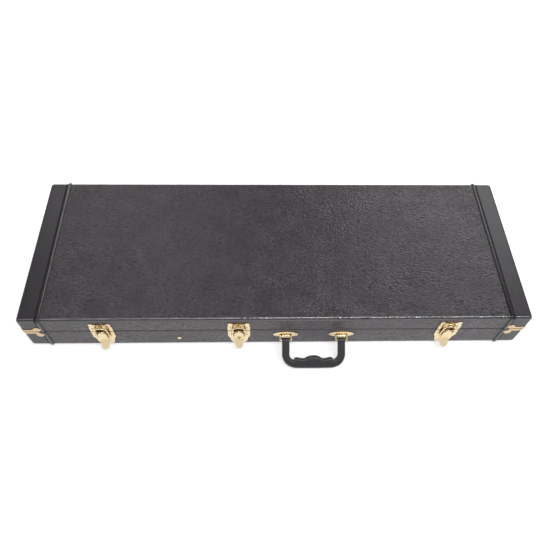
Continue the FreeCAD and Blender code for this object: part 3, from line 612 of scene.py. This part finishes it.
def handle_stations():
    """Middle-line points (x, reach), inward direction, inner and outer half widths, and half thickness."""
    stations = []
    bend = HANDLE_REACH - CORNER
    for reach in (*LEG_END_STEPS, *np.arange(0, bend, LEG_STEP)):
        share = math.sqrt(max(1 - (reach / LEG_END) ** 2, 0.02)) if reach < 0 else 1.0
        width = LEG_HALF * (0.9 + 0.1 * share)
        stations.append((LEG, reach, (-1, 0), width, width, leg_thickness(reach) * share))
    for angle in np.radians(np.linspace(0, 84, 12)):
        out, along = math.cos(angle), math.sin(angle)
        reach = bend + CORNER * along
        x = LEG - CORNER + CORNER * out
        stations.append((x, reach, (-out, -along), LEG_HALF, LEG_HALF, leg_thickness(reach)))
    for place, share in GROOVE:
        inner, half = LEG_HALF - share * GROOVE_SIDE, GRIP_THICK - share * GROOVE_FACE
        stations.append((GRIP_HALF + place, HANDLE_REACH, (0, -1), inner, LEG_HALF, half))
    for x in np.arange(GRIP_HALF, -0.1 * MM, -GRIP_STEP):
        bow = GRIP_BOW * (1 - (x / GRIP_HALF) ** 2)
        stations.append((x, HANDLE_REACH, (0, -1), finger_wave(x), LEG_HALF + bow, GRIP_THICK + GRIP_RISE))
    mirrored = [(-x, reach, (-way[0], way[1]), *sizes) for x, reach, way, *sizes in stations]
    return stations + mirrored[::-1][1:]


def rounded(angle, half_u, half_v, power):
    """Point on a rounded rectangle, as a superellipse."""
    u, v = math.cos(angle), math.sin(angle)
    across = math.copysign(abs(u) ** (2 / power), u) * half_u
    up = math.copysign(abs(v) ** (2 / power), v) * half_v
    return across, up


def handle_moulding():
    """Moulded handle: rounded-rectangle legs that taper to the rings, and a grip with a finger wave."""
    low, high = span("handle_grip")
    middle = (low[0] + high[0]) / 2
    _, axis_y, axis_z = span("handle_rings")[0] + RING_RADIUS
    droop = math.asin((axis_z - DROOP_HEIGHT) / DROOP_REACH)
    points = []
    for x, reach, (way_x, way_reach), inner, outer, half in handle_stations():
        power = GRIP_POWER if abs(x) <= GRIP_HALF else LEG_POWER
        for k in range(HANDLE_SIDES):
            u, v = rounded(2 * math.pi * k / HANDLE_SIDES, 1.0, half, power)
            u *= inner if u > 0 else outer
            out = reach + way_reach * u
            y = axis_y - out * math.cos(droop) - v * math.sin(droop)
            z = axis_z - out * math.sin(droop) + v * math.cos(droop)
            points.append((middle + x + way_x * u, y, max(z, FLOOR_GAP)))
    faces = tube_faces(len(points) // HANDLE_SIDES, HANDLE_SIDES)
    made = piece("handle_moulding", points, faces, "handle", "handle_plastic", 55.0)
    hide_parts("handle_grip")


KEYHOLE = 2.1 * MM                     # radius of the keyhole's round part
KEYHOLE_NEAR = 0.2 * MM                # depth of the painted-shade disc behind the front of the lock
KEYHOLE_FAR = 1.6 * MM
KEYHOLE_SIDES = 24
KEY_SLOT_HALF = 0.8 * MM
KEY_SLOT_DOWN = 3.5 * MM


def keyhole_shade_disc():
    """Near-black disc and slot inside the keyhole of the middle latch's lock: painted shade of the hole,
    where a tumbler would sit.
    """
    low, high = span("lock_cylinder")
    x, _, z = (low + high) / 2
    near, far = low[1] + KEYHOLE_NEAR, low[1] + KEYHOLE_FAR
    rings = []
    for y in (near, far):
        for k in range(KEYHOLE_SIDES):
            angle = 2 * math.pi * k / KEYHOLE_SIDES
            rings.append((x + KEYHOLE * math.cos(angle), y, z + KEYHOLE * math.sin(angle)))
    disc = (rings, tube_faces(2, KEYHOLE_SIDES))
    slot = bar((x - KEY_SLOT_HALF, near, z - KEY_SLOT_DOWN), (x + KEY_SLOT_HALF, far, z))
    # painted shade: dark flange vinyl stands for the shade inside the keyhole
    piece("keyhole_shade_disc", *joined([disc, slot]), "lock", "pin_steel", finish="flange")


# Soft goods and linings

EASING = (0.0, 0.08, 0.3, 0.62)        # places of the points on a rounded edge, as shares of its radius
CROWN_REACH = 22.0 * MM                # from a pad's edge to its full height
CROWN_UNEVEN = 0.3
PRESSURE = 4.0                         # that blows a cushion's cover up
BLOW_FRAMES = 20
BOARD_STEP = 12.0 * MM
LINING_OFF = 0.22 * MM                 # from the rails to the lining's sheet
LINING_ROWS = 4
LINING_STEP = 20.0 * MM


def levels(low, high, radius, step):
    """Coordinates along one side of a rounded board: close together at its ends."""
    bend = np.array(EASING) * radius
    count = max(1, round((high - low - 2 * radius) / step))
    inside = np.linspace(low + radius, high - radius, count + 1)
    return np.concatenate([low + bend, inside, high - bend[::-1]])


def board(low, high, radius, step):
    """Points and faces of a box with rounded edges, in squares of a step."""
    axes = [levels(low[k], high[k], radius, step) for k in range(3)]
    sizes = [len(a) for a in axes]
    index, points, faces = {}, [], []

    def corner(i, j, k):
        if (i, j, k) not in index:
            index[i, j, k] = len(points)
            p = np.array((axes[0][i], axes[1][j], axes[2][k]))
            core = np.clip(p, np.array(low) + radius, np.array(high) - radius)
            gap = p - core
            length = np.linalg.norm(gap)
            points.append(core + gap / length * radius if length > 1e-9 else p)
        return index[i, j, k]

    for fixed in range(3):
        one, two = [k for k in range(3) if k != fixed]
        for end in (0, sizes[fixed] - 1):
            for i in range(sizes[one] - 1):
                for j in range(sizes[two] - 1):
                    quad = []
                    for di, dj in ((0, 0), (1, 0), (1, 1), (0, 1)):
                        at = [0, 0, 0]
                        at[fixed], at[one], at[two] = end, i + di, j + dj
                        quad.append(corner(*at))
                    faces.append(quad)
    return np.array(points), faces


def stuffed(points, low, high, crown, face):
    """Foam under plush: the show face swells by `crown` between its edges, with slight unevenness."""
    moved = points.copy()
    for p in moved:
        edge = min(min(p[k] - low[k], high[k] - p[k]) for k in (0, 1))
        share = min(max(edge / CROWN_REACH, 0.0), 1.0)
        uneven = CROWN_UNEVEN * noise.noise(Vector(p) * 14)
        lift = crown * (1 - (1 - share) ** 2) * (1 - CROWN_UNEVEN / 2 + uneven)
        height = (p[2] - low[2]) / (high[2] - low[2])
        p[2] += lift * (height if face > 0 else height - 1)
    return moved


def covered_board(name, node, body, radius, crown=0.0, face=1):
    """Plush-covered panel or pad that stands for a CAD node, crowned on its upper (1) or lower (-1) face."""
    low, high = span(node)
    if face > 0:
        high[2] -= crown
    else:
        low[2] += crown
    points, faces = board(low, high, radius, BOARD_STEP)
    if crown:
        points = stuffed(points, low, high, crown, face)
    made = piece(name, points, faces, body, "plush", 180.0)
    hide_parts(node)


def evaluated(made):
    """The object's mesh with its modifiers applied."""
    graph = bpy.context.evaluated_depsgraph_get()
    return bpy.data.meshes.new_from_object(made.evaluated_get(graph))


def remeshed(node, voxel):
    """Closed even mesh of a CAD node, as a loose object."""
    copy = bpy.data.objects.new(node + "_cloth", frame["nodes"][node].data.copy())
    bpy.context.scene.collection.objects.link(copy)
    remesh = copy.modifiers.new("voxels", "REMESH")
    remesh.mode = "VOXEL"
    remesh.voxel_size = voxel
    mesh = evaluated(copy)
    copy.modifiers.clear()
    copy.data = mesh
    return copy


def inflated(copy):
    """Blows the cloth of a closed mesh up like a stuffed cover, and returns its points."""
    cloth = copy.modifiers.new("cloth", "CLOTH")
    cloth.settings.use_pressure = True
    cloth.settings.uniform_pressure_force = PRESSURE
    cloth.settings.effector_weights.gravity = 0.0
    cloth.settings.tension_stiffness = cloth.settings.compression_stiffness = 12.0
    cloth.settings.bending_stiffness = 0.4
    cloth.point_cache.frame_start, cloth.point_cache.frame_end = 1, BLOW_FRAMES
    for at in range(1, BLOW_FRAMES + 1):
        bpy.context.scene.frame_set(at)
        bpy.context.view_layer.update()
    blown = evaluated(copy)
    places = np.array([v.co for v in blown.vertices])
    copy.modifiers.clear()
    bpy.context.scene.frame_set(1)
    return places


def cushion(name, node, body, voxel=5 * MM, inset=3.0 * MM, cap=4.5 * MM):
    """Stuffed plush form grown by a cloth simulation inside the space of its CAD node."""
    copy = remeshed(node, voxel)
    low, high = span(node)
    mesh = copy.data
    normals = np.array([v.normal for v in mesh.vertices])
    start = np.array([v.co for v in mesh.vertices]) - normals * inset
    mesh.vertices.foreach_set("co", start.ravel())
    mesh.update()
    places = inflated(copy)
    shift = places - start
    length = np.linalg.norm(shift, axis=1, keepdims=True)
    places = start + shift * np.minimum(1.0, cap / np.maximum(length, 1e-9))
    places = np.clip(places, low + 0.1 * MM, high - 0.1 * MM)
    mesh.vertices.foreach_set("co", places.ravel())
    mesh.update()
    smooth = copy.modifiers.new("smooth", "SMOOTH")
    smooth.factor, smooth.iterations = 0.5, 3
    finer = copy.modifiers.new("finer", "SUBSURF")
    finer.levels = 1
    final = evaluated(copy)
    bpy.data.objects.remove(copy)
    made = settle(name, final, body, "plush", 180.0)
    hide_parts(node)


def soft_goods():
    """Everything padded: cushions round the guitar, padding under and over it, and the covered panels."""
    cushion("front_bolster_cushion", "front_bolster", "base")
    cushion("back_bolster_cushion", "back_bolster", "base")
    cushion("tail_cushion", "tail_pad", "base", voxel=4 * MM, inset=2.0 * MM, cap=3.0 * MM)
    cushion("neck_cradle", "neck_rest", "base", voxel=4 * MM, inset=2.5 * MM, cap=4.0 * MM)
    covered_board("floor_padding", "base_floor_pad", "base", 3 * MM, crown=1.6 * MM)
    covered_board("lid_padding", "lid_pad", "lid", 2.4 * MM, crown=1.4 * MM, face=-1)
    for node in ("neck_partition", "head_partition", "compartment_back_wall", "compartment_filler"):
        covered_board(node + "_cover", node, "base", 1.8 * MM)
    covered_board("compartment_lid_cover", "compartment_lid", "compartment_door", 1.4 * MM)


def lining(name, body, low_z, high_z):
    """Plush glued round the inner faces of the rails, in one strip."""
    x = RAIL_IN_X - LINING_OFF
    front, back = RAIL_IN_FRONT + LINING_OFF, RAIL_IN_BACK - LINING_OFF
    corners = [(-x, front), (x, front), (x, back), (-x, back)]
    ring = [p for a, b in zip(corners, corners[1:] + corners[:1]) for p in run(a, b, LINING_STEP)]
    points = [(px, py, z) for z in np.linspace(low_z, high_z, LINING_ROWS) for px, py in ring]
    count = len(ring)
    faces = []
    for r in range(LINING_ROWS - 1):
        for i in range(count):
            j = (i + 1) % count
            faces.append((r * count + i, r * count + j, (r + 1) * count + j, (r + 1) * count + i))
    made = piece(name, points, faces, body, "plush")


def linings():
    """One strip of lining in the lid and one in the base, each from its panel to just short of the rim."""
    lining("lid_lining", "lid", LID_RIM + TURN_IN, span("lid_top_panel")[0][2])
    lining("base_lining", "base", span("base_bottom_panel")[1][2], BASE_RIM - TURN_IN)


RIBBON_HALF = 6.0 * MM                 # half its width
RIBBON_THICK = 0.5 * MM
RIBBON_RISE = 9.0 * MM                 # height of its loop
RIBBON_REACH = 6.0 * MM                # half the loop's spread on the lid
RIBBON_IN = 7.0 * MM                   # from the lid's edge to the middle of the loop
RIBBON_SUNK = 0.3 * MM                 # depth of its ends in the plush
RIBBON_STEPS = 17


def pull_ribbon():
    """Loop of ribbon at the free edge of the compartment's lid, to lift it by."""
    low, high = span("compartment_lid")
    centre = np.array(((low[0] + high[0]) / 2, high[1] - RIBBON_IN, high[2] - RIBBON_SUNK))
    side = np.array((RIBBON_HALF, 0, 0))
    rings = []
    for angle in np.radians(np.linspace(0, 180, RIBBON_STEPS)):
        out = np.array((0, math.cos(angle) * RIBBON_REACH, math.sin(angle) * RIBBON_RISE))
        inner, outer = centre + out * (1 - RIBBON_THICK / RIBBON_RISE), centre + out
        rings += [inner - side, outer - side, outer + side, inner + side]
    made = piece("compartment_pull", rings, tube_faces(RIBBON_STEPS, 4), "compartment_door", "plush", 30.0)


# Studio

FLOOR_HALF = 8.0
LENS = 35.95                           # mm, on a 36 mm sensor
CAMERA_PLACE = (-0.04884, -0.66095, 1.06395)
CAMERA_TURNS = ((-3.226, "Z"), (33.224, "X"), (2.522, "Z"))   # degrees, outermost first


def floor():
    """Wide white floor that the case lies on."""
    mesh = bpy.data.meshes.new("floor")
    corners = [(x * FLOOR_HALF, y * FLOOR_HALF, 0) for x, y in ((-1, -1), (1, -1), (1, 1), (-1, 1))]
    mesh.from_pydata(corners, [], [(0, 1, 2, 3)])
    plane = bpy.data.objects.new("floor", mesh)
    bpy.context.scene.collection.objects.link(plane)
    made, n, coords = new_material("floor")
    paper = n.noise(coords, 3.0, 2.0)
    white = n.tint(paper, (0.8, 0.8, 0.8), (0.83, 0.83, 0.83))
    n.finish(Base_Color=white, Roughness=0.9, Specular_IOR_Level=0.1,
             Emission_Color=(1.0, 1.0, 1.0, 1.0), Emission_Strength=0.55)
    mesh.materials.append(made)


def world():
    """Pale horizon, a darker band of studio wall above it, and a dim ceiling."""
    made = bpy.data.worlds.new("studio")
    bpy.context.scene.world = made
    n = Nodes(made)
    up = n.add("SeparateXYZ", {"Vector": n.add("TexCoord").outputs["Generated"]}).outputs["Z"]
    wall = n.ramp(up, 0.26, 0.42, 0.6, 0.1)
    ceiling = n.ramp(up, 0.6, 0.85, 0.0, 0.13)
    strength = n.maths("ADD", wall, ceiling)
    background = n.add("Background", {"Color": (1.0, 1.0, 1.0, 1.0), "Strength": strength})
    n.add("OutputWorld", {"Surface": background.outputs[0]})


def lamp(name, place, target, size, watts, spread=180.0):
    """Rectangular area lamp aimed at a target, with its spread in degrees."""
    data = bpy.data.lights.new(name, "AREA")
    data.shape = "RECTANGLE"
    data.size, data.size_y = size
    data.energy = watts
    data.spread = math.radians(spread)
    lit = bpy.data.objects.new(name, data)
    lit.location = place
    lit.rotation_euler = (Vector(target) - Vector(place)).to_track_quat("-Z", "Y").to_euler()
    bpy.context.scene.collection.objects.link(lit)


def camera():
    """Camera above the front of the case, looking down at it."""
    data = bpy.data.cameras.new("camera")
    data.sensor_width = 36.0
    data.lens = LENS
    seat = Matrix.Translation(CAMERA_PLACE)
    for degrees, axis in CAMERA_TURNS:
        seat = seat @ Matrix.Rotation(math.radians(degrees), 4, axis)
    viewer = bpy.data.objects.new("camera", data)
    viewer.matrix_world = seat
    bpy.context.scene.collection.objects.link(viewer)
    bpy.context.scene.camera = viewer


dress_cad_nodes()
skins()
rim_bindings()
piping_flanges()
handle_moulding()
keyhole_shade_disc()
soft_goods()
linings()
pull_ribbon()
floor()
world()
lamp("key", (0.64, -0.6, 1.85), (0.64, -0.1, 0.0), (1.8, 0.17), 18.5)
lamp("key_left", (-0.8, -0.6, 1.85), (-0.8, -0.1, 0.0), (1.08, 0.12), 5.2)
lamp("cord_left", (-0.42, 1.15, 1.9), (-0.476, 0.0, 0.1), (0.12, 1.1), 0.2, 30.0)
lamp("low_front", (0.05, -1.6, 0.5), (0.05, -0.15, 0.05), (2.4, 0.5), 2.0)
lamp("back_right", (1.15, 1.5, 1.5), (0.2, 0.0, 0.05), (1.6, 0.7), 16.0)
lamp("back_left", (-1.1, 1.6, 1.5), (-0.3, 0.0, 0.05), (1.2, 0.7), 5.0)
camera()
bpy.context.scene.view_settings.view_transform = "Standard"
